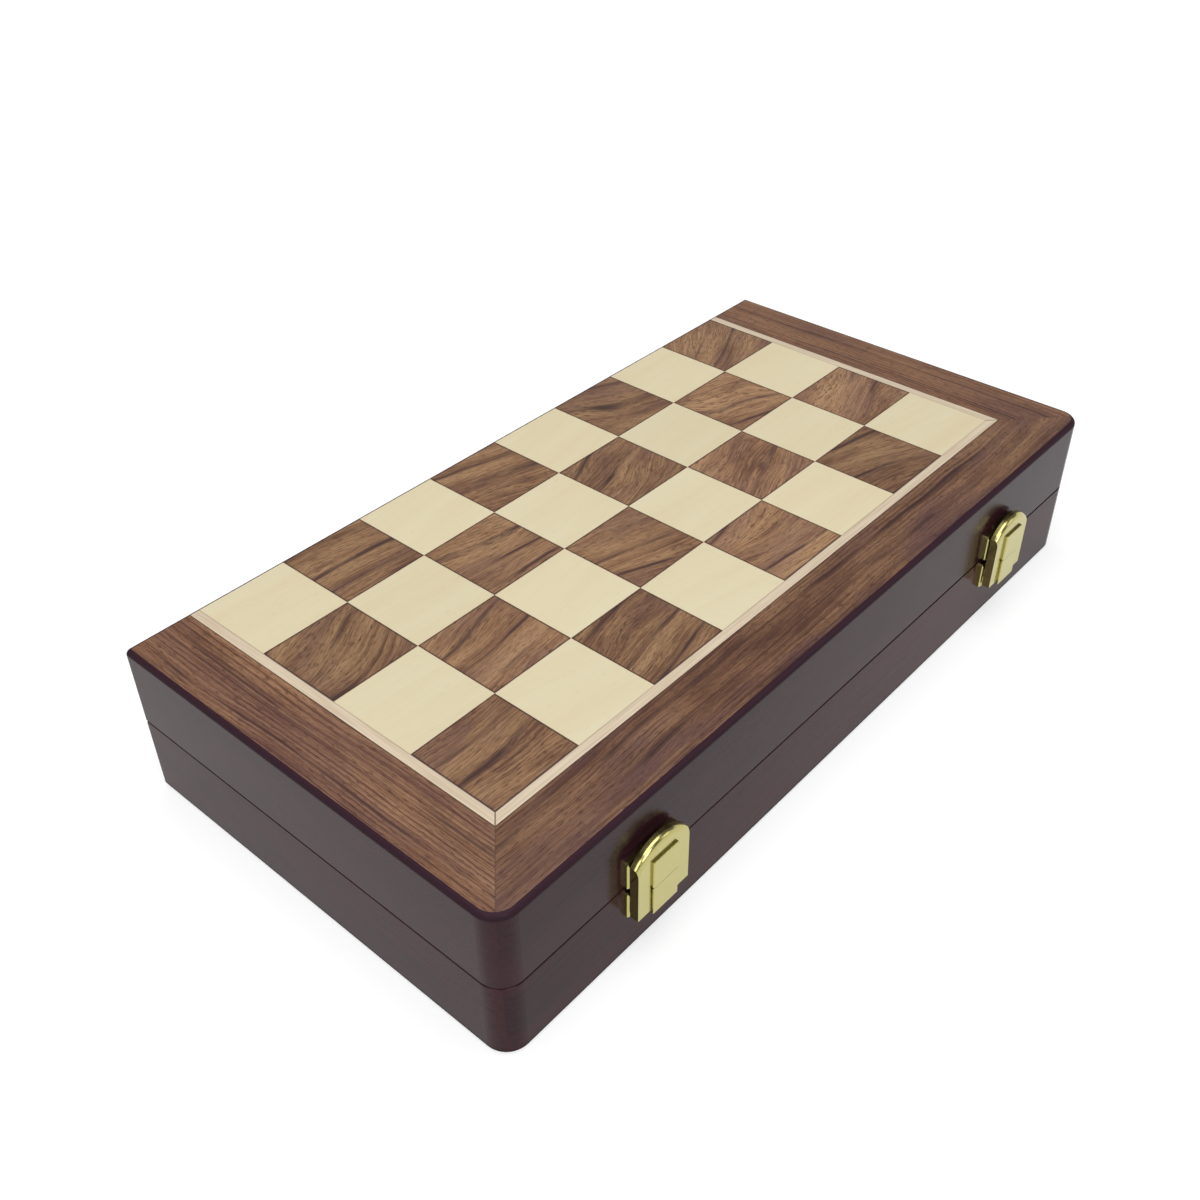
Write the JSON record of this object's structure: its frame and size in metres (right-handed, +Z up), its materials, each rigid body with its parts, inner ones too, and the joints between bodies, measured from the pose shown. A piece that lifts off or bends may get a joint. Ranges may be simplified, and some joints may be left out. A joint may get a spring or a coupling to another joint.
{
  "type": "folding chess board",
  "caption": "Folding wooden chess board case: two hinged lined trays, closed by draw latches, whose outer faces unfold into one inlaid board.",
  "frame": {"origin": "on the face that the closed case rests on, under the middle of the woodwork (hinges and latches not counted)", "axes": "+X along the hinge, +Y towards the hinge side (-Y is the latch side), +Z up"},
  "size_m": [0.3, 0.1578, 0.055],
  "materials": {
    "lacquered_wood": "dark cherry gloss lacquer over hardwood",
    "plywood": "thin plywood, bare",
    "walnut_squares": "walnut veneer, satin varnish",
    "maple_squares": "maple veneer, satin varnish",
    "maple_stringing": "maple stringing, satin varnish",
    "walnut_border_front": "walnut veneer with its grain along the hinge, satin varnish",
    "walnut_border_sides": "walnut veneer with its grain across the hinge, satin varnish",
    "floor_cloth": "thin green baize",
    "flocked_foam": "green flock on die-cut foam",
    "latch_brass": "polished brass plating",
    "hinge_brass": "polished brass",
    "pin_brass": "drawn brass wire",
    "screw_brass": "polished brass"
  },
  "bodies": {
    "base": {"base_front_rail": "lacquered_wood", "base_hinge_rail": "lacquered_wood", "base_left_rail": "lacquered_wood", "base_right_rail": "lacquered_wood", "base_panel": "plywood", "base_dark_squares": "walnut_squares", "base_light_squares": "maple_squares", "base_stringing": "maple_stringing", "base_front_border": "walnut_border_front", "base_left_border": "walnut_border_sides", "base_right_border": "walnut_border_sides", "base_floor_cloth": "floor_cloth", "base_foam_tray": "flocked_foam", "left_hinge_lower_leaf": "hinge_brass", "left_hinge_pin": "pin_brass", "left_latch_lever_pin": "pin_brass", "left_latch_base_plate": "latch_brass", "right_hinge_lower_leaf": "hinge_brass", "right_hinge_pin": "pin_brass", "right_latch_lever_pin": "pin_brass", "right_latch_base_plate": "latch_brass", "hinge_lower_screws": "screw_brass", "latch_lower_nails": "screw_brass"},
    "lid": {"lid_front_rail": "lacquered_wood", "lid_hinge_rail": "lacquered_wood", "lid_left_rail": "lacquered_wood", "lid_right_rail": "lacquered_wood", "lid_panel": "plywood", "lid_dark_squares": "walnut_squares", "lid_light_squares": "maple_squares", "lid_stringing": "maple_stringing", "lid_front_border": "walnut_border_front", "lid_left_border": "walnut_border_sides", "lid_right_border": "walnut_border_sides", "lid_floor_cloth": "floor_cloth", "lid_foam_tray": "flocked_foam", "left_hinge_upper_leaf": "hinge_brass", "left_latch_strike_plate": "latch_brass", "right_hinge_upper_leaf": "hinge_brass", "right_latch_strike_plate": "latch_brass", "hinge_upper_screws": "screw_brass", "latch_upper_nails": "screw_brass"},
    "left_lever": {"left_latch_lever": "latch_brass", "left_latch_loop_pin": "pin_brass"},
    "left_loop": {"left_latch_draw_loop": "latch_brass"},
    "right_lever": {"right_latch_lever": "latch_brass", "right_latch_loop_pin": "pin_brass"},
    "right_loop": {"right_latch_draw_loop": "latch_brass"}
  },
  "joints": [
    {"name": "lid_hinge", "type": "hinge", "parent": "base", "child": "lid", "pos_m": [0, 0.07525, 0.0275], "axis": [-1, 0, 0], "range_deg": [0, 180]},
    {"name": "left_lever_hinge", "type": "hinge", "parent": "base", "child": "left_lever", "pos_m": [-0.0945, -0.079, 0.0254], "axis": [-1, 0, 0], "range_deg": [0, 110]},
    {"name": "left_loop_hinge", "type": "hinge", "parent": "left_lever", "child": "left_loop", "pos_m": [-0.0945, -0.0787, 0.0222], "axis": [-1, 0, 0], "range_deg": [-117, 0]},
    {"name": "right_lever_hinge", "type": "hinge", "parent": "base", "child": "right_lever", "pos_m": [0.0945, -0.079, 0.0254], "axis": [-1, 0, 0], "range_deg": [0, 110]},
    {"name": "right_loop_hinge", "type": "hinge", "parent": "right_lever", "child": "right_loop", "pos_m": [0.0945, -0.0787, 0.0222], "axis": [-1, 0, 0], "range_deg": [-117, 0]}
  ],
  "couplings": [
    {"joint": "left_loop_hinge", "follows": "left_lever_hinge", "ratio": -1.06},
    {"joint": "right_loop_hinge", "follows": "right_lever_hinge", "ratio": -1.06}
  ]
}
